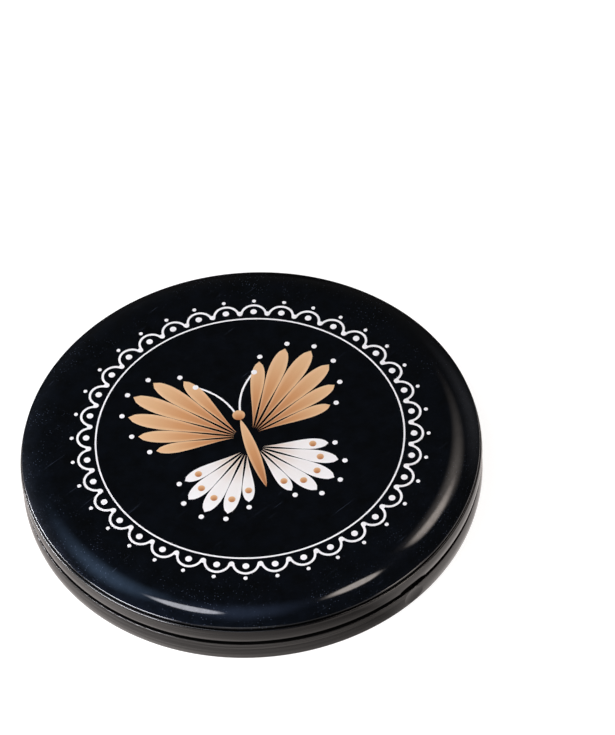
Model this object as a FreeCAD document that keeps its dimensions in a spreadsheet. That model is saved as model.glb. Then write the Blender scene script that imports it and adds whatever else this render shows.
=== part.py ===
"""Round compact mirror: two moulded halves on a pin hinge, with a domed badge on the lid.

The origin is the centre of the underside, +Z is up, the hinge is at +Y and the thumb scoop at -Y.
The lid is modelled closed. Lengths are in millimetres and angles in degrees.
"""
import FreeCAD
import Part
import Sketcher
import math
import os

DIMENSIONS = {
    # Case
    "case_radius": 35.0,
    "rim_width": 5.5,
    "base_floor": 1.7,
    "base_round": 0.6,
    "foot_ring": 4.4,
    "panel_depth": 0.3,
    "rim_step_width": 0.85,
    "rim_step_depth": 0.7,
    "rim_round": 0.15,
    "wall_edge_round": 0.05,
    "parting_gap": 0.05,
    "lid_plate": 0.65,
    "lid_lower_round": 0.4,
    "lid_upper_round": 0.22,
    "wall_angle": 14.0,
    # Mirrors and the tape behind them
    "mirror_clearance": 0.2,
    "mirror_thickness": 1.3,
    "mirror_bevel_width": 0.7,
    "mirror_bevel_depth": 0.3,
    "base_mirror_sink": 1.0,
    "lid_mirror_sink": 0.4,
    "tape_thickness": 0.2,
    "tape_inset": 1.0,
    # Closing magnets
    "magnet_radius": 1.5,
    "magnet_thickness": 1.5,
    "magnet_bevel": 0.15,
    "magnet_sink": 0.05,
    "magnet_clearance": 0.05,
    # Thumb scoop: a slot in the lid's edge over a dimple in the base's wall
    "slot_reach": 7.0,
    "slot_round": 1.0,
    "slot_depth": 0.8,
    "dimple_radius": 7.0,
    "dimple_depth": 0.3,
    "dimple_drop": 2.0,
    # Hinge
    "hinge_inset": 1.9,
    "hinge_setback": 0.7,
    "hinge_clearance": 0.3,
    "knuckle_radius": 1.5,
    "knuckle_width": 9.0,
    "knuckle_gap": 0.3,
    "ear_width": 3.5,
    "ear_root": 0.5,
    "ear_back": 1.0,
    "ear_foot": 0.8,
    "pin_radius": 0.6,
    "pin_clearance": 0.05,
    "pin_inset": 0.2,
    "pin_bevel": 0.1,
    # Badge
    "badge_inset": 0.3,
    "badge_gap": 0.1,
    "hem_radius": 0.3,
    "hem_width": 2.5,
    "side_height": 0.04,
    "edge_radius": 0.5,
    "edge_angle": 38.0,
    "shoulder_radius": 8.0,
    "crown_radius": 1500.0,
    "film_thickness": 0.08,
    "print_thickness": 0.11,
    "tin_thickness": 0.2,
    "layer_clearance": 0.01,
    "back_thickness": 0.3,
    "back_clearance": 0.3,
    "badge_tape_inset": 0.5,
}

# Levels, radii and places that follow from the dimensions
LAYOUT = {
    "base_glass_z": "=dims.base_floor + dims.tape_thickness",
    "base_face_z": "=base_glass_z + dims.mirror_thickness",
    "base_rim_z": "=base_face_z + dims.base_mirror_sink",
    "step_z": "=base_rim_z - dims.rim_step_depth",
    "lid_rim_z": "=base_rim_z + dims.parting_gap",
    "lid_face_z": "=lid_rim_z + dims.lid_mirror_sink",
    "lid_glass_z": "=lid_face_z + dims.mirror_thickness",
    "lid_floor_z": "=lid_glass_z + dims.tape_thickness",
    "lid_top_z": "=lid_floor_z + dims.lid_plate",
    "wall_sin": "=sin(dims.wall_angle)",
    "wall_cos": "=cos(dims.wall_angle)",
    "base_wall_low": "=dims.base_round * (1 - wall_sin)",
    "base_wall_high": "=step_z - dims.wall_edge_round * (1 - wall_sin)",
    "base_wall_bow": "=(base_wall_high - base_wall_low) / 2 / wall_sin",
    "base_wall_r": "=dims.case_radius - base_wall_bow * (1 - wall_cos)",
    "foot_radius": "=base_wall_r - dims.base_round * wall_cos",
    "lid_wall_low": "=lid_rim_z + dims.lid_lower_round * (1 - wall_sin)",
    "lid_wall_high": "=lid_top_z - dims.lid_upper_round * (1 - wall_sin)",
    "lid_wall_bow": "=(lid_wall_high - lid_wall_low) / 2 / wall_sin",
    "lid_wall_r": "=dims.case_radius - lid_wall_bow * (1 - wall_cos)",
    "step_radius": "=dims.case_radius - dims.rim_step_width",
    "panel_radius": "=foot_radius - dims.foot_ring",
    "recess_radius": "=dims.case_radius - dims.rim_width",
    "mirror_radius": "=recess_radius - dims.mirror_clearance",
    "bevel_radius": "=mirror_radius - dims.mirror_bevel_width",
    "tape_radius": "=mirror_radius - dims.tape_inset",
    "magnet_y": "=dims.rim_width / 2 - dims.case_radius",
    "magnet_pocket_radius": "=dims.magnet_radius + dims.magnet_clearance",
    "magnet_pocket_depth": "=dims.magnet_thickness + dims.magnet_sink",
    "parting_z": "=base_rim_z + dims.parting_gap / 2",
    "slot_y": "=dims.slot_depth - dims.slot_reach - dims.case_radius",
    "dimple_y": "=dims.dimple_depth - dims.dimple_radius - dims.case_radius",
    "dimple_z": "=base_rim_z - dims.dimple_drop",
    "hinge_y": "=dims.case_radius - dims.hinge_inset",
    "hinge_z": "=parting_z",
    "flat_y": "=hinge_y - dims.hinge_setback",
    "room_radius": "=dims.knuckle_radius + dims.hinge_clearance",
    "room_width": "=dims.knuckle_width + 2 * dims.knuckle_gap",
    "ear_inner_x": "=room_width / 2",
    "ear_outer_x": "=ear_inner_x + dims.ear_width",
    "ear_back_y": "=hinge_y + dims.ear_back",
    "notch_x": "=ear_outer_x + dims.knuckle_gap",
    "notch_y": "=hinge_y - room_radius",
    "notch_z": "=hinge_z + room_radius",
    "pin_half_length": "=ear_outer_x - dims.pin_inset",
    "badge_radius": "=dims.case_radius - dims.badge_inset",
    "hem_z": "=lid_top_z + dims.badge_gap",
    "hem_outer_r": "=badge_radius - dims.hem_radius",
    "hem_inner_r": "=hem_outer_r - dims.hem_width",
    "side_low_z": "=hem_z + dims.hem_radius",
    "side_high_z": "=side_low_z + dims.side_height",
    "edge_sin": "=sin(dims.edge_angle)",
    "edge_cos": "=cos(dims.edge_angle)",
    "shoulder_r": "=badge_radius - dims.edge_radius - (dims.shoulder_radius - dims.edge_radius) * edge_sin",
    "shoulder_z": "=side_high_z - (dims.shoulder_radius - dims.edge_radius) * edge_cos",
    "crown_sin": "=shoulder_r / (dims.crown_radius - dims.shoulder_radius)",
    "crown_cos": "=sqrt(1 - crown_sin ^ 2)",
    "crown_z": "=shoulder_z - (dims.crown_radius - dims.shoulder_radius) * crown_cos",
    "print_out": "=dims.film_thickness + dims.layer_clearance",
    "print_in": "=print_out + dims.print_thickness",
    "tin_out": "=print_in + dims.layer_clearance",
    "tin_in": "=tin_out + dims.tin_thickness",
    "back_z": "=hem_z + tin_out",
    "back_radius": "=badge_radius - tin_in - dims.back_clearance",
    "badge_tape_radius": "=hem_inner_r - dims.badge_tape_inset",
}

TRIM_MARGIN = 5.0
LEAST_CUT = 1e-3
CUT_KINDS = ("PartDesign::Pocket", "PartDesign::SubtractiveSphere", "PartDesign::SubtractiveTorus")

doc = FreeCAD.newDocument("compact_mirror")


def fill_sheet(name, cells):
    """Makes a sheet with a name and an aliased value on each row."""
    sheet = doc.addObject("Spreadsheet::Sheet", name)
    for row, (alias, content) in enumerate(cells.items(), start=1):
        sheet.set(f"A{row}", alias)
        sheet.set(f"B{row}", str(content))
        sheet.setAlias(f"B{row}", alias)
    doc.recompute()
    return sheet


dims = fill_sheet("dims", DIMENSIONS)
layout = fill_sheet("layout", LAYOUT)


def number(expression):
    """The present value of an expression on the sheets."""
    return float(layout.evalExpression(expression))


def bind(item, **expressions):
    """Ties properties to the sheets; a double underscore in a name stands for a dot."""
    for path, expression in expressions.items():
        item.setExpression(path.replace("__", "."), expression)


# Sketches


def new_sketch(body, name, role, height=None):
    """A sketch on one of the body's own origin planes, raised by height."""
    sketch = body.newObject("Sketcher::SketchObject", name)
    plane = next(item for item in body.Origin.OriginFeatures if item.Role == role)
    sketch.AttachmentSupport = (plane, [""])
    sketch.MapMode = "FlatFace"
    if height:
        bind(sketch, AttachmentOffset__Base__z=height)
    return sketch


def place_point(sketch, geometry, position, across, up):
    """Holds one point of a sketch at an expression on each axis."""
    axes = (("DistanceX", across, -2), ("DistanceY", up, -1))
    for kind, expression, axis in axes:
        if expression == "0":
            sketch.addConstraint(Sketcher.Constraint("PointOnObject", geometry, position, axis))
            continue
        value = number(expression)
        index = sketch.addConstraint(Sketcher.Constraint(kind, -1, 1, geometry, position, value))
        sketch.setExpression(f"Constraints[{index}]", expression)


def hold_radius(sketch, geometry, expression):
    """Ties the radius of a circle or an arc to an expression."""
    index = sketch.addConstraint(Sketcher.Constraint("Radius", geometry, number(expression)))
    sketch.setExpression(f"Constraints[{index}]", expression)


def arc_between(start, end, radius, turn):
    """The short arc from start to end, with turn 1 for anticlockwise and -1 for clockwise."""
    chord = end - start
    rise = math.sqrt(max(radius ** 2 - (chord.Length / 2) ** 2, 0))
    left = FreeCAD.Vector(-chord.y, chord.x, 0).normalize()
    centre = (start + end) * 0.5 + left * (turn * rise)
    first, last = (start, end) if turn > 0 else (end, start)
    first_angle = math.atan2(first.y - centre.y, first.x - centre.x)
    last_angle = math.atan2(last.y - centre.y, last.x - centre.x)
    if last_angle < first_angle:
        last_angle += 2 * math.pi
    circle = Part.Circle(centre, FreeCAD.Vector(0, 0, 1), radius)
    return Part.ArcOfCircle(circle, first_angle, last_angle)


def closed_outline(sketch, corners):
    """Draws a closed outline through corners (across, up), all of them expressions.

    A corner (across, up, radius, turn) starts an arc that runs to the next corner.
    """
    points = [FreeCAD.Vector(number(corner[0]), number(corner[1]), 0) for corner in corners]
    runs = []
    for index, corner in enumerate(corners):
        start = points[index]
        end = points[(index + 1) % len(points)]
        if len(corner) == 2:
            runs.append((sketch.addGeometry(Part.LineSegment(start, end)), 1, 2))
            continue
        radius, turn = corner[2:]
        geometry = sketch.addGeometry(arc_between(start, end, number(radius), turn))
        runs.append((geometry, 1, 2) if turn > 0 else (geometry, 2, 1))
    for index, (geometry, first, last) in enumerate(runs):
        following, following_first = runs[(index + 1) % len(runs)][:2]
        joint = Sketcher.Constraint("Coincident", geometry, last, following, following_first)
        sketch.addConstraint(joint)
    for corner, (geometry, first, last) in zip(corners, runs):
        place_point(sketch, geometry, first, corner[0], corner[1])
        if len(corner) > 2:
            hold_radius(sketch, geometry, corner[2])


def rectangle(sketch, left, right, low, high):
    """Draws a rectangle between four expressions."""
    closed_outline(sketch, [(left, low), (right, low), (right, high), (left, high)])


def circle(sketch, across, up, radius):
    """Draws a circle whose centre and radius are expressions."""
    middle = FreeCAD.Vector(number(across), number(up), 0)
    shape = Part.Circle(middle, FreeCAD.Vector(0, 0, 1), number(radius))
    geometry = sketch.addGeometry(shape)
    place_point(sketch, geometry, 3, across, up)
    hold_radius(sketch, geometry, radius)


# Features


def turned_body(label, corners):
    """A body turned about its Z axis from an outline of radius and height."""
    body = doc.addObject("PartDesign::Body", label)
    sketch = new_sketch(body, f"{label}_outline", "XZ_Plane")
    closed_outline(sketch, corners)
    turned = body.newObject("PartDesign::Revolution", f"{label}_turned")
    turned.Profile = sketch
    turned.ReferenceAxis = (sketch, ["V_Axis"])
    turned.Angle = 360
    return body


def add_pad(body, sketch, length, symmetric=False):
    """Adds material from a sketch, along its normal or to both sides of it."""
    pad = body.newObject("PartDesign::Pad", f"{sketch.Name}_pad")
    pad.Profile = sketch
    pad.SideType = "Symmetric" if symmetric else "One side"
    bind(pad, Length=length)


def add_pocket(body, sketch, length, symmetric=False, upward=False):
    """Cuts material from a sketch, down or up its normal or to both sides of it."""
    pocket = body.newObject("PartDesign::Pocket", f"{sketch.Name}_pocket")
    pocket.Profile = sketch
    pocket.SideType = "Symmetric" if symmetric else "One side"
    pocket.Reversed = upward
    bind(pocket, Length=length)


def cut_scoop_slot(body):
    """Cuts the slot under the lid's front edge that a thumbnail lifts, as a round-edged wheel would."""
    slot = body.newObject("PartDesign::SubtractiveTorus", "scoop_slot")
    bind(
        slot,
        Radius1="dims.slot_reach - dims.slot_round",
        Radius2="dims.slot_round",
        Placement__Base__y="layout.slot_y",
        Placement__Base__z="layout.parting_z",
    )


def cut_scoop_dimple(body):
    """Cuts the shallow round dimple below that slot."""
    dimple = body.newObject("PartDesign::SubtractiveSphere", "scoop_dimple")
    bind(
        dimple,
        Radius="dims.dimple_radius",
        Placement__Base__y="layout.dimple_y",
        Placement__Base__z="layout.dimple_z",
    )


def cut_magnet_pocket(body, label, rim_z, upward):
    """Sinks the round pocket for a closing magnet into a rim face."""
    sketch = new_sketch(body, f"{label}_magnet_seat", "XY_Plane", rim_z)
    circle(sketch, "0", "layout.magnet_y", "layout.magnet_pocket_radius")
    add_pocket(body, sketch, "layout.magnet_pocket_depth", upward=upward)


def axis_circle(body, name, radius):
    """A sketch across the hinge with a circle on its axis."""
    sketch = new_sketch(body, name, "YZ_Plane")
    circle(sketch, "layout.hinge_y", "layout.hinge_z", radius)
    return sketch


# Base half


def make_base_shell():
    """Moulded dish with a bowed wall, a stepped rim, a foot ring and two hinge ears."""
    body = turned_body("base_shell", [
        ("0", "dims.panel_depth"),
        ("layout.panel_radius", "dims.panel_depth"),
        ("layout.panel_radius", "0"),
        ("layout.foot_radius", "0", "dims.base_round", 1),
        ("layout.base_wall_r", "layout.base_wall_low", "layout.base_wall_bow", 1),
        ("layout.base_wall_r", "layout.base_wall_high", "dims.wall_edge_round", 1),
        ("layout.base_wall_r - dims.wall_edge_round * layout.wall_cos", "layout.step_z"),
        ("layout.step_radius", "layout.step_z"),
        ("layout.step_radius", "layout.base_rim_z - dims.rim_round", "dims.rim_round", 1),
        ("layout.step_radius - dims.rim_round", "layout.base_rim_z"),
        ("layout.recess_radius + dims.rim_round", "layout.base_rim_z", "dims.rim_round", 1),
        ("layout.recess_radius", "layout.base_rim_z - dims.rim_round"),
        ("layout.recess_radius", "dims.base_floor"),
        ("0", "dims.base_floor"),
    ])
    cut_hinge_flat(body)
    add_hinge_ears(body)
    cut_magnet_pocket(body, "base", "layout.base_rim_z", upward=False)
    cut_scoop_dimple(body)
    return body


def cut_hinge_flat(body):
    """Takes the back of the base off flat, so that the lid's back edge can swing down there."""
    sketch = new_sketch(body, "hinge_flat", "XY_Plane")
    rectangle(sketch, "-dims.case_radius", "dims.case_radius", "layout.flat_y", "dims.case_radius")
    add_pocket(body, sketch, "layout.base_rim_z", upward=True)


def add_hinge_ears(body):
    """Two ears with a barrel on top; their backs stop the open lid."""
    feet = new_sketch(body, "ear_feet", "XY_Plane", "dims.ear_foot")
    front = "layout.flat_y - dims.ear_root"
    rectangle(feet, "layout.ear_inner_x", "layout.ear_outer_x", front, "layout.ear_back_y")
    rectangle(feet, "-layout.ear_outer_x", "-layout.ear_inner_x", front, "layout.ear_back_y")
    add_pad(body, feet, "layout.hinge_z - dims.ear_foot")
    barrel = axis_circle(body, "ear_barrel", "dims.knuckle_radius")
    add_pad(body, barrel, "2 * layout.ear_outer_x", symmetric=True)
    room = axis_circle(body, "knuckle_room", "layout.room_radius")
    add_pocket(body, room, "layout.room_width", symmetric=True)
    trim = new_sketch(body, "ear_trim", "XY_Plane")
    circle(trim, "0", "0", "dims.case_radius")
    circle(trim, "0", "0", f"dims.case_radius + {TRIM_MARGIN}")
    add_pocket(body, trim, "layout.notch_z", upward=True)
    bore = axis_circle(body, "ear_bore", "dims.pin_radius")
    add_pocket(body, bore, "2 * layout.ear_outer_x", symmetric=True)


def make_base_mirror():
    """Glass disc with its bevel upwards."""
    return turned_body("base_mirror", [
        ("0", "layout.base_glass_z"),
        ("layout.mirror_radius", "layout.base_glass_z"),
        ("layout.mirror_radius", "layout.base_face_z - dims.mirror_bevel_depth"),
        ("layout.bevel_radius", "layout.base_face_z"),
        ("0", "layout.base_face_z"),
    ])


# Lid half


def make_lid_shell():
    """Moulded cover with a bowed wall, a mirror recess, a hinge notch and the middle knuckle."""
    body = turned_body("lid_shell", [
        ("0", "layout.lid_floor_z"),
        ("layout.recess_radius", "layout.lid_floor_z"),
        ("layout.recess_radius", "layout.lid_rim_z + dims.rim_round", "dims.rim_round", 1),
        ("layout.recess_radius + dims.rim_round", "layout.lid_rim_z"),
        ("layout.lid_wall_r - dims.lid_lower_round * layout.wall_cos", "layout.lid_rim_z",
         "dims.lid_lower_round", 1),
        ("layout.lid_wall_r", "layout.lid_wall_low", "layout.lid_wall_bow", 1),
        ("layout.lid_wall_r", "layout.lid_wall_high", "dims.lid_upper_round", 1),
        ("layout.lid_wall_r - dims.lid_upper_round * layout.wall_cos", "layout.lid_top_z"),
        ("0", "layout.lid_top_z"),
    ])
    notch = new_sketch(body, "hinge_notch", "XY_Plane", "layout.lid_rim_z")
    rectangle(notch, "-layout.notch_x", "layout.notch_x", "layout.notch_y", "dims.case_radius")
    add_pocket(body, notch, "layout.notch_z - layout.lid_rim_z", upward=True)
    add_knuckle(body)
    cut_magnet_pocket(body, "lid", "layout.lid_rim_z", upward=True)
    cut_scoop_slot(body)
    return body


def add_knuckle(body):
    """Middle knuckle, hung from the roof of the notch on a block as wide as itself."""
    block = new_sketch(body, "knuckle_block", "YZ_Plane")
    front = "layout.hinge_y - dims.knuckle_radius"
    back = "layout.hinge_y + dims.knuckle_radius"
    rectangle(block, front, back, "layout.hinge_z", "layout.notch_z")
    add_pad(body, block, "dims.knuckle_width", symmetric=True)
    barrel = axis_circle(body, "knuckle_barrel", "dims.knuckle_radius")
    add_pad(body, barrel, "dims.knuckle_width", symmetric=True)
    bore = axis_circle(body, "knuckle_bore", "dims.pin_radius + dims.pin_clearance")
    add_pocket(body, bore, "dims.knuckle_width", symmetric=True)


def make_lid_mirror():
    """Glass disc with its bevel downwards."""
    return turned_body("lid_mirror", [
        ("0", "layout.lid_face_z"),
        ("layout.bevel_radius", "layout.lid_face_z"),
        ("layout.mirror_radius", "layout.lid_face_z + dims.mirror_bevel_depth"),
        ("layout.mirror_radius", "layout.lid_glass_z"),
        ("0", "layout.lid_glass_z"),
    ])


# Small turned pieces and plain discs


def bevelled_rod(label, radius, length, bevel):
    """A short rod on its own Z axis, centred on its middle, with bevelled ends."""
    half = f"({length}) / 2"
    return turned_body(label, [
        ("0", f"-{half}"),
        (f"{radius} - {bevel}", f"-{half}"),
        (radius, f"{bevel} - {half}"),
        (radius, f"{half} - {bevel}"),
        (f"{radius} - {bevel}", half),
        ("0", half),
    ])


def make_magnet(label, middle_z):
    """Closing magnet, upright in its pocket in the rim."""
    body = bevelled_rod(label, "dims.magnet_radius", "dims.magnet_thickness", "dims.magnet_bevel")
    bind(body, Placement__Base__y="layout.magnet_y", Placement__Base__z=middle_z)
    return body


def make_hinge_pin():
    """Steel pin along the hinge axis, pressed into the ears."""
    body = bevelled_rod("hinge_pin", "dims.pin_radius", "2 * layout.pin_half_length", "dims.pin_bevel")
    body.Placement.Rotation = FreeCAD.Rotation(FreeCAD.Vector(0, 1, 0), 90)
    bind(body, Placement__Base__y="layout.hinge_y", Placement__Base__z="layout.hinge_z")
    return body


def make_disc(label, radius, bottom, thickness):
    """A plain flat disc about the case axis."""
    disc = doc.addObject("Part::Cylinder", label)
    bind(disc, Radius=radius, Height=thickness, Placement__Base__z=bottom)
    return disc


# Badge


def dome_line(depth):
    """Corners of the badge's dome from its middle to its side, at a depth under its outside."""
    return [
        ("0", f"layout.crown_z + dims.crown_radius - {depth}"),
        (f"(dims.crown_radius - {depth}) * layout.crown_sin",
         f"layout.crown_z + (dims.crown_radius - {depth}) * layout.crown_cos"),
        (f"layout.shoulder_r + (dims.shoulder_radius - {depth}) * layout.edge_sin",
         f"layout.shoulder_z + (dims.shoulder_radius - {depth}) * layout.edge_cos"),
        (f"layout.badge_radius - {depth}", "layout.side_high_z"),
        (f"layout.badge_radius - {depth}", "layout.side_low_z"),
    ]


def hem_line(depth):
    """Corners of the fold under the badge, from its roll to its inner end."""
    return [
        ("layout.hem_outer_r", f"layout.hem_z + {depth}"),
        ("layout.hem_inner_r", f"layout.hem_z + {depth}"),
    ]


def layer_side(depth, hemmed):
    """One side of a badge layer, as corners and the radius that leaves each of them."""
    names = ("crown_radius", "shoulder_radius", "edge_radius")
    radii = [f"dims.{name} - {depth}" for name in names] + [None, None]
    corners = dome_line(depth)
    if hemmed:
        corners += hem_line(depth)
        radii[-1:] = [f"dims.hem_radius - {depth}", None, None]
    return corners, radii


def make_layer(label, outer_depth, inner_depth, hemmed):
    """A thin layer of the badge between two depths, folded under at its edge if hemmed."""
    corners, radii = layer_side(outer_depth, hemmed)
    outline = [corner + ((radius, -1) if radius else ()) for corner, radius in zip(corners, radii)]
    corners, radii = layer_side(inner_depth, hemmed)
    arriving = [None] + radii[:-1]
    back = [corner + ((radius, 1) if radius else ()) for corner, radius in zip(corners, arriving)]
    return turned_body(label, outline + back[::-1])


# Assembly


def make_pieces():
    """Every separate piece of the compact, in the order in which it is put together."""
    base_magnet_z = "layout.base_rim_z - dims.magnet_sink - dims.magnet_thickness / 2"
    lid_magnet_z = "layout.lid_rim_z + dims.magnet_sink + dims.magnet_thickness / 2"
    badge_tape = "dims.badge_gap + layout.tin_out"
    return [
        make_base_shell(),
        make_disc("base_mirror_tape", "layout.tape_radius", "dims.base_floor", "dims.tape_thickness"),
        make_base_mirror(),
        make_magnet("base_magnet", base_magnet_z),
        make_hinge_pin(),
        make_lid_shell(),
        make_disc("lid_mirror_tape", "layout.tape_radius", "layout.lid_glass_z", "dims.tape_thickness"),
        make_lid_mirror(),
        make_magnet("lid_magnet", lid_magnet_z),
        make_disc("badge_tape", "layout.badge_tape_radius", "layout.lid_top_z", badge_tape),
        make_disc("badge_back", "layout.back_radius", "layout.back_z", "dims.back_thickness"),
        make_layer("badge_shell", "layout.tin_out", "layout.tin_in", hemmed=False),
        make_layer("badge_print", "layout.print_out", "layout.print_in", hemmed=True),
        make_layer("badge_film", "0", "dims.film_thickness", hemmed=True),
    ]


def check_document():
    """Stops if a feature failed or a cut took nothing away."""
    for item in doc.Objects:
        if "Invalid" in item.State or "Error" in item.State:
            raise RuntimeError(f"{item.Name} failed: {item.State}")
        if item.TypeId in CUT_KINDS:
            removed = item.BaseFeature.Shape.Volume - item.Shape.Volume
            if removed < LEAST_CUT:
                raise RuntimeError(f"{item.Name} cuts nothing")


def check_pieces(pieces):
    """Stops if a piece is missing, broken or in more than one solid."""
    for piece in pieces:
        shape = piece.Shape
        if shape.isNull() or not shape.isValid() or len(shape.Solids) != 1:
            raise RuntimeError(f"{piece.Label} is not one sound solid")


def write_pieces(pieces):
    """Writes each piece to a file of its own name."""
    os.makedirs("parts", exist_ok=True)
    for piece in pieces:
        piece.Shape.exportStep(f"parts/{piece.Label}.step")
        print(f"{piece.Label:18s} {piece.Shape.Volume:10.2f} mm3")


all_pieces = make_pieces()
doc.recompute()
check_document()
check_pieces(all_pieces)
write_pieces(all_pieces)
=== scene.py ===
"""Looks of a round compact mirror: its finishes, its printed lid, the studio and the camera.

Sizes on the compact are millimetres, and each piece becomes metres when its mesh is written. Sizes of the
studio are metres. Headings, turns and elevations are degrees.
"""

import math

import bmesh
import bpy
from mathutils import Matrix, Vector


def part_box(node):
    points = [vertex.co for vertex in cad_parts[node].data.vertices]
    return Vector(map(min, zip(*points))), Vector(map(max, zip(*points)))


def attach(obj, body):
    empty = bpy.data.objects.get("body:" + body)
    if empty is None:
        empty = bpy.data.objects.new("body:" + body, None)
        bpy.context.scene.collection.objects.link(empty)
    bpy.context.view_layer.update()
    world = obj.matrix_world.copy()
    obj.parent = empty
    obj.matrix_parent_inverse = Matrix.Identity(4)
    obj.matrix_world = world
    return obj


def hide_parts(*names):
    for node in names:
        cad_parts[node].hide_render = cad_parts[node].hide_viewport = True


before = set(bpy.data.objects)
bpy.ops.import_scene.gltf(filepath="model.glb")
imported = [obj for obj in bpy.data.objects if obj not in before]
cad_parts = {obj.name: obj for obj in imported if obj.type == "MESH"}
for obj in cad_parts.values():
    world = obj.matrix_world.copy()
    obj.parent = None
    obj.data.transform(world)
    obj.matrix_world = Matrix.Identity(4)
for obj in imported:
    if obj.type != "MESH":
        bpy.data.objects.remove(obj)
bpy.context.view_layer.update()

MM = 0.001

# The domed badge on the lid: the radii of its arcs, and the width of the hem folded under it
film_low, film_high = (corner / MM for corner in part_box("badge_film"))
CROWN_RADIUS = 1500.0
SHOULDER_RADIUS = 8.0
EDGE_RADIUS = 0.3
HEM_RADIUS = 0.45
HEM_WIDTH = 2.2
# How far in from the badge's side the shoulder's arc has its centre
SHOULDER_INSET = 5.117
# How many steps each arc is drawn in, and the whole badge round its axis
CROWN_STEPS = 16
SHOULDER_STEPS = 28
EDGE_STEPS = 12
HEM_STEPS = 10
BADGE_STEPS = 288
# How near points of the badge or of an ink are joined, and how short an edge of ink is dissolved
BADGE_MERGE = 0.0005
INK_MERGE = 0.002
INK_SHORTEST = 0.001

# How far the printed layers lie under the outside of the film, and how thick the ink is
GROUND_DEPTH = 0.040
LINE_DEPTH = 0.030
PANEL_DEPTH = 0.022
SPOT_DEPTH = 0.012
INK_THICKNESS = 0.030

# The printed butterfly, seen with the print upright. Headings are in degrees from its right.
PRINT_TURN = -39.5
BUTTERFLY_CENTRE = Vector((0.0, -2.2))
BUTTERFLY_TILT = 13.0
WING_GAP = 1.1
PANEL_FULLEST = 0.74
PANEL_BLUNTNESS = 0.58
PANEL_SHARE = 0.9
FOREWING = {
    "root": (0.9, 2.2), "start": 69.0, "step": -12.4,
    "lengths": (13.2, 16.4, 17.4, 16.6, 14.4, 11.8),
}
HINDWING = {
    "root": (0.7, -0.4), "start": -15.0, "step": -15.0,
    "lengths": (9.8, 11.6, 12.2, 11.4, 9.0),
}
MARGIN_GAP = 1.0
MARGIN_SPOT = 0.8
EYE_SPOT = 1.1
EYE_PLACE = 0.76
BODY = {"tail": -8.2, "length": 13.6, "width": 1.8}
BODY_BLUNTNESS = 0.7
HEAD_DIAMETER = 1.9
FEELER = {"root": (0.35, 6.6), "heading": 82.0, "length": 8.6, "bend": -46.0, "width": 0.3, "tip": 0.9}

# The lace border: a line, and a scallop with its beads at each step round it
BORDER_STEPS = 36
BORDER_LINE_RADIUS = 23.3
BORDER_LINE_WIDTH = 0.26
SCALLOP_RADIUS = 24.4
SCALLOP_RISE = 1.75
SCALLOP_WIDTH = 0.36
SCALLOP_SHARE = 0.88
# Each ring of beads: its distance from the axis, the bead's diameter, and its place in the step
BEADS = ((24.4, 0.85, 0.0), (24.75, 1.0, 0.5), (26.95, 0.6, 0.5))

# The cells across and along each form of ink, the sides of a dot, and the steps of the border's line
PANEL_CELLS = (8, 20)
BODY_CELLS = (6, 20)
FEELER_CELLS = (1, 20)
SCALLOP_CELLS = (1, 14)
DOT_SIDES = 24
BORDER_LINE_STEPS = 144
# An ink line this slightly bent, in radians, is straight
LEAST_BEND = 1e-6

# Where a finish starts to change and where it has changed, in from the outside of the case or of a mirror
# On the case, the change is a painted reflection: grey bands on the outside of its walls
WALL_SHEEN = (0.4, 0.25)
GLASS_GROUND = (0.2, 0.05)
# The same for the dust that lodges near the badge's edge, out from its axis
DUST_LODGED = (26, 31)

# The camera, as found from the outline of the case in the photograph. Its lens is in millimetres.
CAMERA_AZIMUTH = -39.5
CAMERA_ELEVATION = 50.85
CAMERA_DISTANCE = 0.600
CAMERA_AIM_HEIGHT = 0.0045
CAMERA_YAW = 0.913
CAMERA_PITCH = -1.209
CAMERA_ROLL = 4.73
CAMERA_LENS = 193.75

# The sheet of paper under the compact, the glow that makes it white to the eye, and the world's dim level
FLOOR_RADIUS = 2.0
FLOOR_SIDES = 96
PAPER_GLOW = 0.88
WORLD_LEVEL = 0.05
# How bright gloss sees the paper: millimetres from the compact's axis to the camera's right, and the level
ROOM_LEVELS = ((-70, 0.7), (-27, 1.0), (0, 0.6), (19, 0.26), (27, 1.0), (70, 0.92))
# Where that fades, in millimetres behind the axis, and the share of it that is left beyond
ROOM_FADE = {"start": 6, "end": 28, "left": 0.03}

# The soft lamps: their distance, and each one's azimuth and elevation from the camera's side, size and look
LAMP_DISTANCE = 0.9
SOFTBOXES = {
    "left_key": dict(place=(-56, 15), size=(0.78, 0.36), brightness=40.0, softness=0.4, tint="#f6f8ff"),
    "left_low": dict(place=(-102, 5), size=(0.68, 0.12), brightness=100.0, softness=0.4, tint="#f6f8ff"),
    "front_key": dict(place=(-10, 30), size=(0.60, 0.42), brightness=2.6, softness=0.5, tint="#ffffff"),
    "right_fill": dict(place=(60, 20), size=(0.50, 0.40), brightness=10.0, softness=0.6, tint="#fff4ea"),
    "left_side": dict(place=(-108.4, 52.6), size=(0.85, 0.75), brightness=1.5, softness=1.0, tint="#a6cdff",
                      roll=43, lean=1.6),
    "overhead": dict(place=(-25, 77.5), size=(0.60, 0.75), brightness=0.65, softness=1.0, tint="#a9c6ff",
                     roll=11),
    "left_top": dict(place=(-65.5, 70.2), size=(0.34, 0.18), brightness=9.0, softness=0.35, tint="#f4f6ff",
                     roll=29.9, lean=1.3),
    "right_top": dict(place=(80.7, 73.2), size=(0.275, 0.20), brightness=6.8, softness=0.4, tint="#fff4ec",
                      roll=-30.1, lean=1.7),
    "right_side": dict(place=(125.0, 54.4), size=(0.30, 0.28), brightness=4.8, softness=0.7, tint="#fff2e8",
                       roll=-63.8, lean=0.65),
    "right_low": dict(place=(140.6, 48), size=(0.56, 0.50), brightness=1.6, softness=1.0, tint="#fff2e8",
                      roll=-38.9, lean=0.6),
    "right_room": dict(place=(133, 20), size=(0.80, 0.65), brightness=0.2, softness=1.0, tint="#eef0ff"),
}


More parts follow.
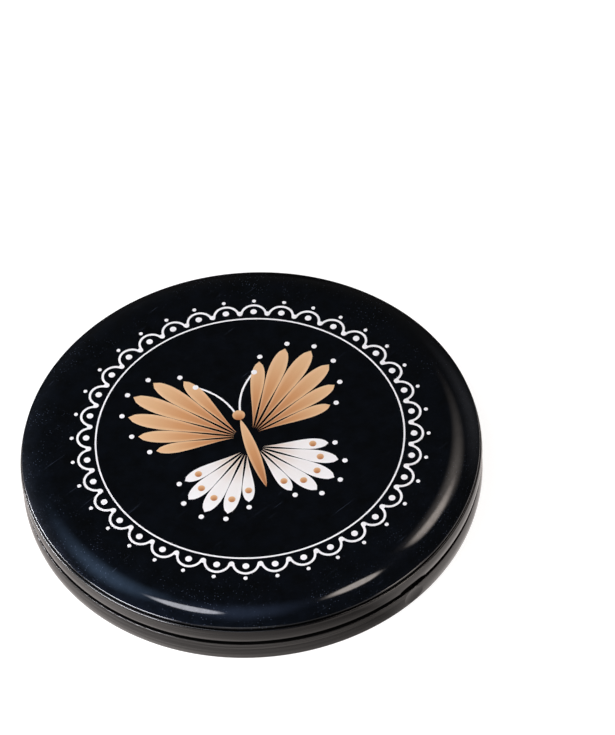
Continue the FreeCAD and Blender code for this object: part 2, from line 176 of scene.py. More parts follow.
def unit(heading):
    """The way that a heading points."""
    return Vector((math.cos(math.radians(heading)), math.sin(math.radians(heading))))


# Materials

def linear(hex_colour):
    """An sRGB hex colour as the linear colour that a socket takes."""
    shares = [int(hex_colour[i:i + 2], 16) / 255 for i in (1, 3, 5)]
    return [s / 12.92 if s <= 0.04045 else ((s + 0.055) / 1.055) ** 2.4 for s in shares] + [1.0]


def per_metre(size):
    """A texture's scale for features of this size in millimetres."""
    return 1 / (size * MM)


def add(owner, kind, inputs, stops=(), **settings):
    """A node of a material, lamp or world, with its settings and a ramp's stops.

    An input takes a value, or the socket that feeds it. A stop is a position and a colour.
    """
    tree = owner.node_tree
    node = tree.nodes.new("ShaderNode" + kind)
    for name, value in settings.items():
        setattr(node, name, value)
    for name, value in inputs.items():
        if isinstance(value, bpy.types.NodeSocket):
            tree.links.new(value, node.inputs[name])
        else:
            node.inputs[name].default_value = value
    if stops:
        ramp = node.color_ramp.elements
        ramp[0].position, ramp[0].color = stops[0]
        ramp[1].position, ramp[1].color = stops[-1]
        for position, colour in stops[1:-1]:
            ramp.new(position).color = colour
    return node


def new_material(name):
    """An empty node material."""
    material = bpy.data.materials.new(name)
    material.use_nodes = True
    material.node_tree.nodes.clear()
    return material


def finish_material(material, shader):
    """Gives the material an output that the shader feeds."""
    add(material, "OutputMaterial", {"Surface": shader.outputs[0]})
    return material


def from_axis(material, place, centre_y=0.0):
    """How far a place lies from an upright axis, as a socket."""
    flat = add(material, "Mapping", {"Vector": place, "Location": (0, -centre_y, 0), "Scale": (1, 1, 0)})
    return add(material, "VectorMath", {0: flat.outputs[0]}, operation="LENGTH").outputs["Value"]


def moulded_black_abs():
    """Glossy black ABS from a polished mould: a soft mirror, with painted reflection bands on the outside of
    its walls.
    """
    material = new_material("moulded_black_abs")
    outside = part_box("base_shell")[1].x
    place = add(material, "TexCoord", {}).outputs["Object"]
    # Painted reflection: grey bands in the colour stand in for the floor seen in the gloss, on the outside
    # of the walls only, so the parting gap stays black
    wall_sheen_mask = add(material, "MapRange", {
        "Value": from_axis(material, place),
        "From Min": outside - WALL_SHEEN[0] * MM, "From Max": outside - WALL_SHEEN[1] * MM})
    bands = add(material, "Mapping", {
        "Vector": place, "Scale": (per_metre(50), per_metre(50), per_metre(0.6))})
    flow = add(material, "TexNoise", {"Vector": bands.outputs[0], "Scale": 1.0, "Detail": 3.0})
    grey = add(material, "ValToRGB", {"Fac": flow.outputs["Fac"]},
               stops=((0.48, linear("#070606")), (0.66, linear("#2e2c2a"))))
    black = add(material, "Mix", {
        "Factor": wall_sheen_mask.outputs[0], "A": linear("#050505"), "B": grey.outputs["Color"]}, data_type="RGBA")
    rubbed = add(material, "TexNoise", {"Vector": place, "Scale": per_metre(5.0), "Detail": 6.0})
    dulled = add(material, "MapRange", {
        "Value": rubbed.outputs["Fac"], "From Min": 0.35, "From Max": 0.75, "To Min": 0.12, "To Max": 0.24})
    bump = add(material, "Bump", {"Strength": 0.15, "Distance": 0.02 * MM, "Height": flow.outputs["Fac"]})
    shader = add(material, "BsdfPrincipled", {
        "Base Color": black.outputs["Result"], "Roughness": dulled.outputs[0], "IOR": 1.52,
        "Normal": bump.outputs[0]})
    return finish_material(material, shader)


def marks_on_film(material, place):
    """Where dust lies on the film, most of it near the badge's edge, and where wiping has left hairlines."""
    # Real dust is a few hundredths of a millimetre across, and is drawn coarser so that it shows
    dust = add(material, "TexVoronoi", {"Vector": place, "Scale": per_metre(0.42)})
    specks = add(material, "MapRange", {
        "Value": dust.outputs["Distance"], "From Min": 0.06, "From Max": 0.2, "To Min": 1.0, "To Max": 0.0})
    drift = add(material, "TexNoise", {"Vector": place, "Scale": per_metre(6.0), "Detail": 3.0})
    settled = add(material, "MapRange", {"Value": drift.outputs["Fac"], "From Min": 0.4, "From Max": 0.65})
    lodged = add(material, "MapRange", {
        "Value": from_axis(material, place),
        "From Min": DUST_LODGED[0] * MM, "From Max": DUST_LODGED[1] * MM, "To Min": 0.15, "To Max": 1.0})
    shed = add(material, "Math", {0: settled.outputs[0], 1: lodged.outputs[0]}, operation="MULTIPLY")
    dusted = add(material, "Math", {0: specks.outputs[0], 1: shed.outputs[0]}, operation="MULTIPLY")
    # So are the hairlines of handling, which run the way that the badge is wiped
    wiped = add(material, "Mapping", {
        "Vector": place, "Rotation": (0, 0, math.radians(25)), "Scale": (0.07, 1, 1)})
    scratch = add(material, "TexNoise", {"Vector": wiped.outputs[0], "Scale": per_metre(0.4), "Detail": 2.0})
    hairlines = add(material, "MapRange", {
        "Value": scratch.outputs["Fac"], "From Min": 0.7, "From Max": 0.78, "To Min": 0.0, "To Max": 0.25})
    marks = add(material, "Math", {0: dusted.outputs[0], 1: hairlines.outputs[0]}, operation="MAXIMUM")
    return marks.outputs[0]


def film_relief(material, place):
    """The slow waves of the stretched film and the fine peel on it, as a bent normal."""
    wave = add(material, "TexNoise", {"Vector": place, "Scale": per_metre(7.0), "Detail": 2.0})
    peel = add(material, "TexNoise", {"Vector": place, "Scale": per_metre(0.6), "Detail": 3.0})
    relief = add(material, "Math", {0: wave.outputs["Fac"], 1: 3.0, 2: peel.outputs["Fac"]},
                 operation="MULTIPLY_ADD")
    bump = add(material, "Bump", {"Strength": 0.2, "Distance": 0.006 * MM, "Height": relief.outputs[0]})
    return bump.outputs[0]


def print_under_film():
    """Near-black offset print under glossy polyester film: a little blue, with dust and hairlines."""
    material = new_material("print_under_film")
    place = add(material, "TexCoord", {}).outputs["Object"]
    mottle = add(material, "TexNoise", {
        "Vector": place, "Scale": per_metre(2.5), "Detail": 7.0, "Roughness": 0.7})
    ground = add(material, "ValToRGB", {"Fac": mottle.outputs["Fac"]},
                 stops=((0.35, linear("#010203")), (0.75, linear("#04070d"))))
    marks = marks_on_film(material, place)
    faint = add(material, "Math", {0: marks, 1: 0.32}, operation="MULTIPLY")
    dusty = add(material, "Mix", {
        "Factor": faint.outputs[0], "A": ground.outputs["Color"], "B": linear("#6a768e")}, data_type="RGBA")
    haze = add(material, "MapRange", {
        "Value": mottle.outputs["Fac"], "From Min": 0.3, "From Max": 0.75, "To Min": 0.3, "To Max": 0.5})
    hazy = add(material, "Math", {0: marks, 1: -0.16, 2: haze.outputs[0]}, operation="MULTIPLY_ADD")
    smear = add(material, "TexNoise", {
        "Vector": place, "Scale": per_metre(1.2), "Detail": 8.0, "Roughness": 0.75})
    gloss = add(material, "MapRange", {
        "Value": smear.outputs["Fac"], "From Min": 0.35, "From Max": 0.65, "To Min": 0.75, "To Max": 1.0})
    relief = film_relief(material, place)
    shader = add(material, "BsdfPrincipled", {
        "Base Color": dusty.outputs["Result"], "Roughness": hazy.outputs[0], "Specular IOR Level": 0.06,
        "Specular Tint": linear("#86a2dc"),
        "Coat Weight": gloss.outputs[0], "Coat Roughness": 0.06, "Coat IOR": 1.57,
        "Normal": relief, "Coat Normal": relief})
    return finish_material(material, shader)


def ink_under_film(name, tones, edge_hex):
    """Offset ink under the film: its tone shifts along a panel, with paler sides and a printer's screen."""
    material = new_material(name)
    sheet = add(material, "UVMap", {}, uv_map="panel")
    along = add(material, "SeparateXYZ", {"Vector": sheet.outputs[0]})
    tone = add(material, "ValToRGB", {"Fac": along.outputs["Y"]},
               stops=[(number / 2, linear(hex_colour)) for number, hex_colour in enumerate(tones)])
    across = add(material, "Math", {0: along.outputs["X"], 1: 0.5}, operation="SUBTRACT")
    side = add(material, "Math", {0: across.outputs[0]}, operation="ABSOLUTE")
    edge = add(material, "MapRange", {
        "Value": side.outputs[0], "From Min": 0.22, "From Max": 0.5, "To Min": 0.0, "To Max": 0.6})
    paler = add(material, "Mix", {
        "Factor": edge.outputs[0], "A": tone.outputs["Color"], "B": linear(edge_hex)}, data_type="RGBA")
    place = add(material, "TexCoord", {}).outputs["Object"]
    # A printer's screen is a tenth of a millimetre, and is drawn coarser so that it shows
    screen = add(material, "TexNoise", {"Vector": place, "Scale": per_metre(0.3), "Detail": 2.0})
    depth = add(material, "MapRange", {"Value": screen.outputs["Fac"], "To Min": 0.0, "To Max": 0.08})
    printed = add(material, "Mix", {
        "Factor": depth.outputs[0], "A": paler.outputs["Result"], "B": linear(tones[0])}, data_type="RGBA")
    dull = add(material, "MapRange", {"Value": screen.outputs["Fac"], "To Min": 0.35, "To Max": 0.55})
    bump = add(material, "Bump", {"Strength": 0.1, "Distance": 0.004 * MM, "Height": screen.outputs["Fac"]})
    shader = add(material, "BsdfPrincipled", {
        "Base Color": printed.outputs["Result"], "Roughness": dull.outputs[0],
        "Coat Weight": 1.0, "Coat Roughness": 0.06, "Coat IOR": 1.57, "Normal": bump.outputs[0]})
    return finish_material(material, shader)


def silvered_glass():
    """Float glass silvered behind: a clear mirror with faint smudges and a faintly green ground rim."""
    material = new_material("silvered_glass")
    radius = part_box("base_mirror")[1].x
    place = add(material, "TexCoord", {}).outputs["Object"]
    rim = add(material, "MapRange", {
        "Value": from_axis(material, place),
        "From Min": radius - GLASS_GROUND[0] * MM, "From Max": radius - GLASS_GROUND[1] * MM})
    smudge = add(material, "TexNoise", {
        "Vector": place, "Scale": per_metre(9.0), "Detail": 8.0, "Roughness": 0.65})
    tint = add(material, "ValToRGB", {"Fac": smudge.outputs["Fac"]},
               stops=((0.0, linear("#eef1f0")), (1.0, linear("#e6ebe9"))))
    silver = add(material, "Mix", {
        "Factor": rim.outputs[0], "A": tint.outputs["Color"], "B": linear("#a9c0b4")}, data_type="RGBA")
    breath = add(material, "MapRange", {
        "Value": smudge.outputs["Fac"], "From Min": 0.5, "From Max": 0.8, "To Min": 0.008, "To Max": 0.05})
    ground = add(material, "Mix", {0: rim.outputs[0], 2: breath.outputs[0], 3: 0.4})
    ripple = add(material, "TexNoise", {"Vector": place, "Scale": per_metre(25.0), "Detail": 1.0})
    bump = add(material, "Bump", {"Strength": 0.05, "Distance": 0.004 * MM, "Height": ripple.outputs["Fac"]})
    shader = add(material, "BsdfPrincipled", {
        "Base Color": silver.outputs["Result"], "Metallic": 1.0, "Roughness": ground.outputs[0],
        "Normal": bump.outputs[0]})
    return finish_material(material, shader)


def plated_nickel():
    """Nickel plating on a pressed magnet: bright and faintly warm, with a dark ring round its middle."""
    material = new_material("plated_nickel")
    low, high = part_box("base_magnet")
    place = add(material, "TexCoord", {}).outputs["Object"]
    distance = from_axis(material, place, (low.y + high.y) / 2)
    size = add(material, "Math", {0: distance, 1: 1 / high.x}, operation="MULTIPLY")
    plate = add(material, "ValToRGB", {"Fac": size.outputs[0]},
                stops=((0.22, linear("#d6d0c6")), (0.32, linear("#8b867d")),
                       (0.58, linear("#8b867d")), (0.68, linear("#dcd7ce"))))
    pits = add(material, "TexNoise", {"Vector": place, "Scale": per_metre(0.2), "Detail": 5.0})
    dull = add(material, "MapRange", {"Value": pits.outputs["Fac"], "To Min": 0.12, "To Max": 0.36})
    bump = add(material, "Bump", {"Strength": 0.2, "Distance": 0.01 * MM, "Height": pits.outputs["Fac"]})
    shader = add(material, "BsdfPrincipled", {
        "Base Color": plate.outputs["Color"], "Metallic": 1.0, "Roughness": dull.outputs[0],
        "Normal": bump.outputs[0]})
    return finish_material(material, shader)


def rolled_metal(name, dark, pale, stretch, roughest):
    """Bare metal with fine lines along the way it was drawn or rolled."""
    material = new_material(name)
    place = add(material, "TexCoord", {}).outputs["Object"]
    lines = add(material, "Mapping", {"Vector": place, "Scale": stretch})
    drawn = add(material, "TexNoise", {"Vector": lines.outputs[0], "Scale": per_metre(0.1), "Detail": 3.0})
    steel = add(material, "ValToRGB", {"Fac": drawn.outputs["Fac"]},
                stops=((0.3, linear(dark)), (0.7, linear(pale))))
    dull = add(material, "MapRange", {"Value": drawn.outputs["Fac"], "To Min": 0.18, "To Max": roughest})
    bump = add(material, "Bump", {"Strength": 0.2, "Distance": 0.005 * MM, "Height": drawn.outputs["Fac"]})
    shader = add(material, "BsdfPrincipled", {
        "Base Color": steel.outputs["Color"], "Metallic": 1.0, "Roughness": dull.outputs[0],
        "Normal": bump.outputs[0]})
    return finish_material(material, shader)


def white_foam_tape():
    """Double-sided foam tape, die cut: off-white and matt, with open cells at its edge."""
    material = new_material("white_foam_tape")
    place = add(material, "TexCoord", {}).outputs["Object"]
    cells = add(material, "TexVoronoi", {"Vector": place, "Scale": per_metre(0.25)}).outputs["Distance"]
    foam = add(material, "ValToRGB", {"Fac": cells},
               stops=((0.0, linear("#cfcdc4")), (1.0, linear("#e6e4dc"))))
    dull = add(material, "MapRange", {"Value": cells, "To Min": 0.7, "To Max": 0.9})
    bump = add(material, "Bump", {"Strength": 0.4, "Distance": 0.03 * MM, "Height": cells})
    shader = add(material, "BsdfPrincipled", {
        "Base Color": foam.outputs["Color"], "Roughness": dull.outputs[0], "Normal": bump.outputs[0]})
    return finish_material(material, shader)


def room_in_gloss(material, place):
    """How bright gloss sees each place on the paper: light at both sides, dimmer between and dark behind."""
    right = unit(CAMERA_AZIMUTH).to_3d()
    rightward = add(material, "VectorMath", {0: place, 1: right}, operation="DOT_PRODUCT")
    left_end, right_end = ROOM_LEVELS[0][0], ROOM_LEVELS[-1][0]
    reach = add(material, "MapRange", {
        "Value": rightward.outputs["Value"], "From Min": left_end * MM, "From Max": right_end * MM})
    stops = [((across - left_end) / (right_end - left_end), (level, level, level, 1))
             for across, level in ROOM_LEVELS]
    room = add(material, "ValToRGB", {"Fac": reach.outputs[0]}, stops=stops)
    rear = unit(CAMERA_AZIMUTH + 90).to_3d()
    rearward = add(material, "VectorMath", {0: place, 1: rear}, operation="DOT_PRODUCT")
    behind = add(material, "MapRange", {
        "Value": rearward.outputs["Value"], "From Min": ROOM_FADE["start"] * MM,
        "From Max": ROOM_FADE["end"] * MM, "To Min": 1.0, "To Max": ROOM_FADE["left"]},
        interpolation_type="SMOOTHSTEP")
    gloss = add(material, "Math", {0: room.outputs["Color"], 1: behind.outputs[0]}, operation="MULTIPLY")
    return gloss.outputs[0]


def pale_paper_floor():
    """Pale background paper: white to the eye, with the shadow that falls on it, and a room to gloss."""
    material = new_material("pale_paper_floor")
    rays = add(material, "LightPath", {}).outputs
    seen = add(material, "Math", {0: rays["Is Camera Ray"], 1: rays["Is Glossy Ray"]}, operation="MAXIMUM")
    shown = add(material, "Math", {0: seen.outputs[0], 1: rays["Is Transmission Ray"]}, operation="MAXIMUM")
    place = add(material, "TexCoord", {}).outputs["Object"]
    fibre = add(material, "TexNoise", {"Vector": place, "Scale": per_metre(2.0), "Detail": 4.0})
    paper = add(material, "ValToRGB", {"Fac": fibre.outputs["Fac"]},
                stops=((0.0, linear("#9a9794")), (1.0, linear("#a19e9b"))))
    matt = add(material, "BsdfDiffuse", {"Color": paper.outputs["Color"]})
    tone = add(material, "Mix", {
        "Factor": rays["Is Camera Ray"], "A": linear("#fff6f2"), "B": linear("#ffffff")}, data_type="RGBA")
    room = room_in_gloss(material, place)
    level = add(material, "Mix", {0: rays["Is Camera Ray"], 2: room, 3: PAPER_GLOW})
    strength = add(material, "Math", {0: shown.outputs[0], 1: level.outputs[0]}, operation="MULTIPLY")
    glow = add(material, "Emission", {"Color": tone.outputs["Result"], "Strength": strength.outputs[0]})
    lit = add(material, "AddShader", {0: matt.outputs[0], 1: glow.outputs[0]})
    # Gloss sees the room alone, and from below the paper is clear
    face = add(material, "MixShader", {0: rays["Is Glossy Ray"], 1: lit.outputs[0], 2: glow.outputs[0]})
    clear = add(material, "BsdfTransparent", {})
    below = add(material, "NewGeometry", {}).outputs["Backfacing"]
    floor = add(material, "MixShader", {0: below, 1: face.outputs[0], 2: clear.outputs[0]})
    return finish_material(material, floor)


# Pieces

def write_piece(bm, name, body, material, smooth):
    """Turns a mesh to metres and makes it a piece that rides on a body."""
    bmesh.ops.scale(bm, vec=(MM, MM, MM), verts=bm.verts)
    for face in bm.faces:
        face.smooth = smooth
    mesh = bpy.data.meshes.new(name)
    bm.to_mesh(mesh)
    bm.free()
    mesh.materials.append(material)
    piece = bpy.data.objects.new(name, mesh)
    bpy.context.scene.collection.objects.link(piece)
    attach(piece, body)
    return piece


def arc_on(bm, vertex, centre, degrees, steps):
    """Carries a profile on from a vertex along an arc, and gives the vertex at its end."""
    swept = bmesh.ops.spin(bm, geom=[vertex], cent=(centre[0], 0, centre[1]), axis=(0, 1, 0),
                           angle=math.radians(degrees), steps=steps)
    return swept["geom_last"][0]


def line_on(bm, vertex, across, up):
    """Carries a profile on from a vertex along a straight line, and gives the vertex at its end."""
    drawn = bmesh.ops.extrude_vert_indiv(bm, verts=[vertex])["verts"]
    bmesh.ops.translate(bm, vec=(across, 0, up), verts=drawn)
    return drawn[0]


def arc_within(centre, radius, smaller, across):
    """Centre of a smaller arc that runs on smoothly from an arc, at a distance from the axis."""
    reach = radius - smaller
    return Vector((across, centre.y + math.sqrt(reach ** 2 - (across - centre.x) ** 2)))


def tilt_towards(centre, following):
    """How far a profile has turned down where an arc runs on into the following one."""
    return math.degrees(math.atan2(following.x - centre.x, following.y - centre.y))


def make_badge_face(material):
    """The print and its film as one skin: the crown, the shoulder, the pressed edge and the hem under it."""
    crown = Vector((0, film_high.z - CROWN_RADIUS))
    shoulder = arc_within(crown, CROWN_RADIUS, SHOULDER_RADIUS, film_high.x - SHOULDER_INSET)
    edge = arc_within(shoulder, SHOULDER_RADIUS, EDGE_RADIUS, film_high.x - EDGE_RADIUS)
    hem = Vector((film_high.x - HEM_RADIUS, film_low.z + HEM_RADIUS))
    crown_end = tilt_towards(crown, shoulder)
    shoulder_end = tilt_towards(shoulder, edge)
    bm = bmesh.new()
    end = bm.verts.new((0, 0, film_high.z - GROUND_DEPTH))
    end = arc_on(bm, end, crown, crown_end, CROWN_STEPS)
    end = arc_on(bm, end, shoulder, shoulder_end - crown_end, SHOULDER_STEPS)
    end = arc_on(bm, end, edge, 90 - shoulder_end, EDGE_STEPS)
    end = line_on(bm, end, 0, hem.y - edge.y)
    end = arc_on(bm, end, hem, 90, HEM_STEPS)
    line_on(bm, end, -HEM_WIDTH, 0)
    bmesh.ops.spin(bm, geom=bm.verts[:] + bm.edges[:], cent=(0, 0, 0), axis=(0, 0, 1),
                   angle=math.tau, steps=BADGE_STEPS, use_merge=True)
    bmesh.ops.remove_doubles(bm, verts=bm.verts, dist=BADGE_MERGE)
    bmesh.ops.recalc_face_normals(bm, faces=bm.faces)
    piece = write_piece(bm, "badge_face", "lid", material, True)
    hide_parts("badge_film", "badge_print")


def panel_outline(width):
    """Half the width along a panel that comes to a point at its root and is round at its end."""
    power = math.log(0.5) / math.log(PANEL_FULLEST)

    def half_width(share):
        return width / 2 * max(0.0, math.sin(math.pi * share ** power)) ** PANEL_BLUNTNESS
    return half_width


def spindle_outline(width):
    """Half the width along a body that comes to a point at both ends."""
    def half_width(share):
        return width / 2 * max(0.0, math.sin(math.pi * share)) ** BODY_BLUNTNESS
    return half_width


def line_outline(width):
    """Half the width along a line of even width."""
    def half_width(share):
        return width / 2
    return half_width


def bent_spine(length, bend, share):
    """A place on a line that starts to the right and bends evenly, at a share of its length."""
    angle = math.radians(bend) or LEAST_BEND
    turned = angle * share
    return Vector((math.sin(turned), 1 - math.cos(turned))) * (length / angle)


def add_blade(bm, place, heading, length, bend, half_width, cells):
    """A flat panel or line of ink from its root: it bends evenly along its length."""
    made = bmesh.ops.create_grid(bm, x_segments=cells[0], y_segments=cells[1], size=0.5, calc_uvs=True)
    turn = Matrix.Rotation(math.radians(heading), 2)
    for vert in made["verts"]:
        share = min(1.0, max(0.0, vert.co.y + 0.5))
        side = unit(bend * share + 90) * (2 * vert.co.x * half_width(share))
        vert.co = (place + turn @ (bent_spine(length, bend, share) + side)).to_3d()


def add_dot(bm, place, diameter):
    """A round dot of ink."""
    bmesh.ops.create_circle(bm, cap_ends=True, segments=DOT_SIDES, radius=diameter / 2, calc_uvs=True,
                            matrix=Matrix.Translation(place.to_3d()))


def crown_height(across, up):
    """Height of the film's outside over a place on the crown."""
    return film_high.z - CROWN_RADIUS + math.sqrt(CROWN_RADIUS ** 2 - across ** 2 - up ** 2)


def new_ink():
    """An empty mesh with the map that the inks read."""
    bm = bmesh.new()
    bm.loops.layers.uv.new("panel")
    return bm


def lay_ink(bm, name, material, depth):
    """Lays flat ink on the crown at its depth under the film, with its thickness, turned as the print is."""
    bmesh.ops.remove_doubles(bm, verts=bm.verts, dist=INK_MERGE)
    bmesh.ops.dissolve_degenerate(bm, dist=INK_SHORTEST, edges=bm.edges)
    for vert in bm.verts:
        vert.co.z = crown_height(vert.co.x, vert.co.y) - depth
    bmesh.ops.rotate(bm, cent=(0, 0, 0), matrix=Matrix.Rotation(math.radians(PRINT_TURN), 3, "Z"),
                     verts=bm.verts)
    bmesh.ops.recalc_face_normals(bm, faces=bm.faces)
    for face in bm.faces:
        if face.normal.z < 0:
            face.normal_flip()
    bmesh.ops.solidify(bm, geom=bm.faces[:], thickness=INK_THICKNESS)
    write_piece(bm, name, "lid", material, False)


def on_butterfly(side, place):
    """A place on one side of the butterfly, as a place on the print."""
    turn = Matrix.Rotation(math.radians(BUTTERFLY_TILT), 2)
    return BUTTERFLY_CENTRE + turn @ Vector((side * place[0], place[1]))


def heading_on_butterfly(side, heading):
    """A heading on one side of the butterfly, as a heading on the print."""
    return BUTTERFLY_TILT + 90 - side * (90 - heading)


def wing_panels(wing):
    """The root, heading and length of each panel of a pair of wings."""
    for side in (-1, 1):
        for number, length in enumerate(wing["lengths"]):
            heading = heading_on_butterfly(side, wing["start"] + wing["step"] * number)
            yield on_butterfly(side, wing["root"]) + unit(heading) * WING_GAP, heading, length


def make_wings(name, wing, material):
    """A pair of wings, each a fan of separate panels."""
    bm = new_ink()
    room = 2 * math.tan(math.radians(abs(wing["step"]) / 2)) * PANEL_SHARE
    for root, heading, length in wing_panels(wing):
        width = room * (WING_GAP + PANEL_FULLEST * length)
        add_blade(bm, root, heading, length, 0, panel_outline(width), PANEL_CELLS)
    lay_ink(bm, name, material, PANEL_DEPTH)


def make_spots(white_ink, copper_ink):
    """White spots beyond the ends of the panels, and a copper spot on each panel of the hindwings."""
    margin = new_ink()
    for wing in (FOREWING, HINDWING):
        for root, heading, length in wing_panels(wing):
            add_dot(margin, root + unit(heading) * (length + MARGIN_GAP), MARGIN_SPOT)
    lay_ink(margin, "print_margin_spots", white_ink, SPOT_DEPTH)
    eyes = new_ink()
    for root, heading, length in wing_panels(HINDWING):
        add_dot(eyes, root + unit(heading) * (length * EYE_PLACE), EYE_SPOT)
    lay_ink(eyes, "print_eye_spots", copper_ink, SPOT_DEPTH)


def make_body(material):
    """The butterfly's body and its head."""
    body = new_ink()
    tail = on_butterfly(1, (0, BODY["tail"]))
    spindle = spindle_outline(BODY["width"])
    add_blade(body, tail, heading_on_butterfly(1, 90), BODY["length"], 0, spindle, BODY_CELLS)
    head = on_butterfly(1, (0, BODY["tail"] + BODY["length"] + HEAD_DIAMETER / 2))
    add_dot(body, head, HEAD_DIAMETER)
    lay_ink(body, "print_body", material, PANEL_DEPTH)


def make_feelers(material):
    """The butterfly's two feelers with their tips."""
    feelers = new_ink()
    tips = new_ink()
    for side in (-1, 1):
        root = on_butterfly(side, FEELER["root"])
        heading = heading_on_butterfly(side, FEELER["heading"])
        bend = side * FEELER["bend"]
        thread = line_outline(FEELER["width"])
        add_blade(feelers, root, heading, FEELER["length"], bend, thread, FEELER_CELLS)
        reach = bent_spine(FEELER["length"], bend, 1.0)
        add_dot(tips, root + Matrix.Rotation(math.radians(heading), 2) @ reach, FEELER["tip"])
    lay_ink(feelers, "print_feelers", material, LINE_DEPTH)
    lay_ink(tips, "print_feeler_tips", material, SPOT_DEPTH)


def make_border_line(material):
    """The fine ring of the lace border."""
    ring = new_ink()
    start = ring.verts.new((BORDER_LINE_RADIUS - BORDER_LINE_WIDTH / 2, 0, 0))
    end = ring.verts.new((BORDER_LINE_RADIUS + BORDER_LINE_WIDTH / 2, 0, 0))
    edge = ring.edges.new((start, end))
    bmesh.ops.spin(ring, geom=[start, end, edge], cent=(0, 0, 0), axis=(0, 0, 1), angle=math.tau,
                   steps=BORDER_LINE_STEPS, use_merge=True)
    lay_ink(ring, "print_border_line", material, LINE_DEPTH)


def make_border_lace(material):
    """The scallops round the border's line, each an arc of ink, and their beads."""
    step = 360 / BORDER_STEPS
    half_step = step * SCALLOP_SHARE / 2
    half_chord = SCALLOP_RADIUS * math.sin(math.radians(half_step))
    arc_radius = (half_chord ** 2 + SCALLOP_RISE ** 2) / (2 * SCALLOP_RISE)
    half_sweep = 2 * math.degrees(math.atan(SCALLOP_RISE / half_chord))
    length = 2 * math.radians(half_sweep) * arc_radius
    scallops = new_ink()
    beads = new_ink()
    for number in range(BORDER_STEPS):
        middle = step * (number + 0.5)
        root = unit(middle - half_step) * SCALLOP_RADIUS
        add_blade(scallops, root, middle + 90 - half_sweep, length, 2 * half_sweep,
                  line_outline(SCALLOP_WIDTH), SCALLOP_CELLS)
        for radius, diameter, share in BEADS:
            add_dot(beads, unit(step * (number + share)) * radius, diameter)
    lay_ink(scallops, "print_border_scallops", material, PANEL_DEPTH)
    lay_ink(beads, "print_border_beads", material, SPOT_DEPTH)


# Studio

def make_floor(material):
    """A plain sheet of paper under the compact."""
    bm = bmesh.new()
    bmesh.ops.create_circle(bm, cap_ends=True, segments=FLOOR_SIDES, radius=FLOOR_RADIUS)
    mesh = bpy.data.meshes.new("floor")
    bm.to_mesh(mesh)
    bm.free()
    mesh.materials.append(material)
    floor = bpy.data.objects.new("floor", mesh)
    bpy.context.scene.collection.objects.link(floor)


def from_camera(azimuth, elevation, distance):
    """A place round the compact. Azimuth 0 is on the camera's side, and 90 is to the camera's right."""
    turn = math.radians(CAMERA_AZIMUTH + azimuth)
    rise = math.radians(elevation)
    way = Vector((math.sin(turn) * math.cos(rise), -math.cos(turn) * math.cos(rise), math.sin(rise)))
    return way * distance


def add_softbox(name, place, size, brightness, softness, tint, roll=0, lean=1):
    """A lamp that faces the compact, with a face that is brightest in its middle and fades to its edge.

    A lean over 1 carries the brightest place towards one end of its width, and one under 1 to the other.
    """
    width, height = size
    lamp = bpy.data.lights.new(name, "AREA")
    lamp.shape = "RECTANGLE"
    lamp.size = width
    lamp.size_y = height
    lamp.energy = brightness * width * height * math.pi
    lamp.color = linear(tint)[:3]
    lamp.use_nodes = True
    lamp.node_tree.nodes.clear()
    face = add(lamp, "SeparateXYZ", {"Vector": add(lamp, "NewGeometry", {}).outputs["Parametric"]})
    leaning = add(lamp, "Math", {0: face.outputs["X"], 1: lean}, operation="POWER")
    egg = add(lamp, "CombineXYZ", {"X": leaning.outputs[0], "Y": face.outputs["Y"]})
    centred = add(lamp, "VectorMath", {0: egg.outputs[0], 1: (0.5, 0.5, 0)}, operation="SUBTRACT")
    flat = add(lamp, "VectorMath", {0: centred.outputs[0], 1: (2, 2, 0)}, operation="MULTIPLY")
    reach = add(lamp, "VectorMath", {0: flat.outputs[0]}, operation="LENGTH")
    fade = add(lamp, "MapRange", {
        "Value": reach.outputs["Value"], "From Min": 1 - softness, "From Max": 1.0, "To Min": 1.0,
        "To Max": 0.0}, interpolation_type="SMOOTHSTEP")
    glow = add(lamp, "Emission", {"Strength": fade.outputs[0]})
    add(lamp, "OutputLight", {"Surface": glow.outputs[0]})
    softbox = bpy.data.objects.new(name, lamp)
    softbox.location = from_camera(*place, LAMP_DISTANCE)
    facing = softbox.location.to_track_quat("Z", "Y").to_matrix()
    softbox.rotation_euler = (facing @ Matrix.Rotation(math.radians(roll), 3, "Z")).to_euler()
    bpy.context.scene.collection.objects.link(softbox)


def make_world():
    """A dim studio: the eye sees white beyond the paper, and gloss sees a dark room."""
    world = bpy.data.worlds.new("studio")
    world.use_nodes = True
    world.node_tree.nodes.clear()
    rays = add(world, "LightPath", {})
    brightness = add(world, "MapRange", {
        "Value": rays.outputs["Is Camera Ray"], "To Min": WORLD_LEVEL, "To Max": 1.0})
    room = add(world, "Background", {"Strength": brightness.outputs[0]})
    add(world, "OutputWorld", {"Surface": room.outputs[0]})
    bpy.context.scene.world = world


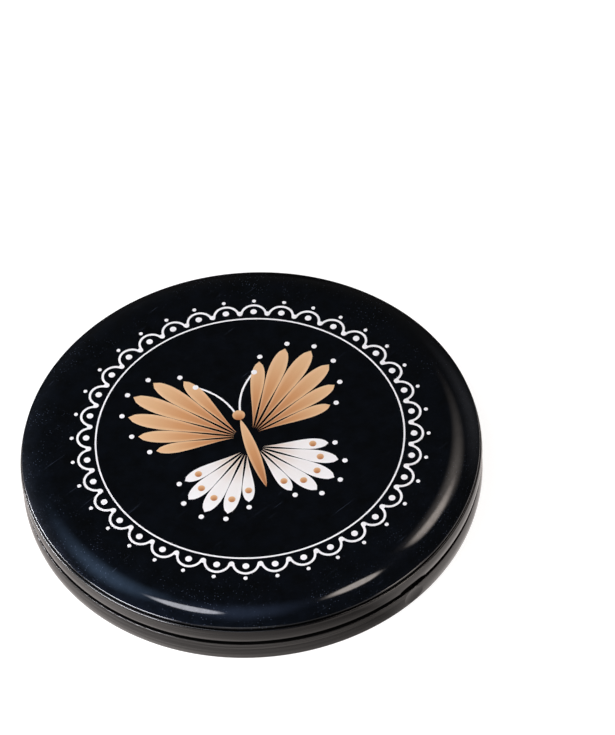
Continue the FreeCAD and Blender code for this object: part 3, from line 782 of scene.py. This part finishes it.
def make_camera():
    """The photograph's camera: a long lens from the front, above the compact."""
    data = bpy.data.cameras.new("camera")
    data.lens = CAMERA_LENS
    camera = bpy.data.objects.new("camera", data)
    turns = ((CAMERA_AZIMUTH, "Z"), (90 - CAMERA_ELEVATION, "X"), (-CAMERA_YAW, "Y"), (-CAMERA_PITCH, "X"),
             (-CAMERA_ROLL, "Z"))
    aimed = Matrix.Identity(4)
    for degrees, axis in turns:
        aimed = aimed @ Matrix.Rotation(math.radians(degrees), 4, axis)
    aimed.translation = Vector((0, 0, CAMERA_AIM_HEIGHT)) + from_camera(0, CAMERA_ELEVATION, CAMERA_DISTANCE)
    camera.matrix_world = aimed
    bpy.context.scene.collection.objects.link(camera)
    bpy.context.scene.camera = camera


# The compact

case_plastic = moulded_black_abs()
mirror_glass = silvered_glass()
magnet_plate = plated_nickel()
pin_wire = rolled_metal("drawn_steel_wire", "#8f9093", "#b9babd", stretch=(0.05, 1, 1), roughest=0.38)
badge_tin = rolled_metal("rolled_tinplate", "#b9babb", "#d3d4d4", stretch=(0.04, 1, 1), roughest=0.3)
foam_tape = white_foam_tape()

finishes = {
    "base_shell": case_plastic, "lid_shell": case_plastic,
    "base_mirror": mirror_glass, "lid_mirror": mirror_glass,
    "base_magnet": magnet_plate, "lid_magnet": magnet_plate,
    "hinge_pin": pin_wire, "badge_shell": badge_tin, "badge_back": badge_tin,
    "base_mirror_tape": foam_tape, "lid_mirror_tape": foam_tape, "badge_tape": foam_tape,
}
for node_name, finish in finishes.items():
    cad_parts[node_name].data.materials.clear()
    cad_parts[node_name].data.materials.append(finish)

copper = ink_under_film("copper_toned_ink", ("#a9683c", "#cb915f", "#e6bd90"), "#ecc9a0")
pale = ink_under_film("white_wing_ink", ("#c9a98c", "#efe9e4", "#f6f3f1"), "#f6f3f1")
white = ink_under_film("white_line_ink", ("#efeceb", "#f4f1ef", "#f6f3f1"), "#f6f3f1")
make_badge_face(print_under_film())
make_wings("print_forewings", FOREWING, copper)
make_wings("print_hindwings", HINDWING, pale)
make_spots(white, copper)
make_body(copper)
make_feelers(white)
make_border_line(white)
make_border_lace(white)

make_floor(pale_paper_floor())
make_world()
for lamp_name, look in SOFTBOXES.items():
    add_softbox(lamp_name, **look)
make_camera()

bpy.context.scene.view_settings.view_transform = "Standard"
